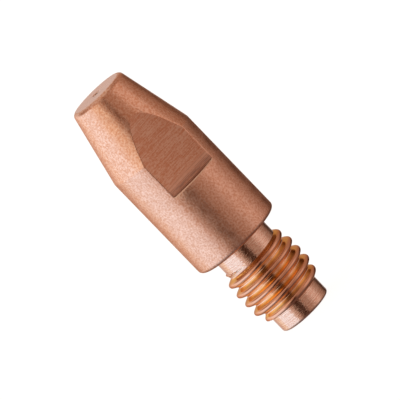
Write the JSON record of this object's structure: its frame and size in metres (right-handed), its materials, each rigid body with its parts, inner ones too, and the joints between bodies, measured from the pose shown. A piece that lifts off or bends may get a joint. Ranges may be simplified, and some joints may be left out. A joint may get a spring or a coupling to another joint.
{
  "type": "welding contact tip",
  "caption": "Turned copper contact tip for a wire-feed welding torch, with a conical nose, wrench flats on the body, a plain neck, an M8 thread and a pilot end.",
  "frame": {"origin": "centre of the rear end face, on the axis of the wire bore", "axes": "+Z along the axis from the rear end to the nose, the way the wire runs; the wrench flats face -Y and +Y"},
  "size_m": [0.01, 0.01, 0.0305],
  "materials": {
    "copper": "copper: fine blasted cone and body, milled flats, bright turned shank and rolled thread"
  },
  "bodies": {
    "root": {"contact_tip": "copper"}
  },
  "joints": []
}
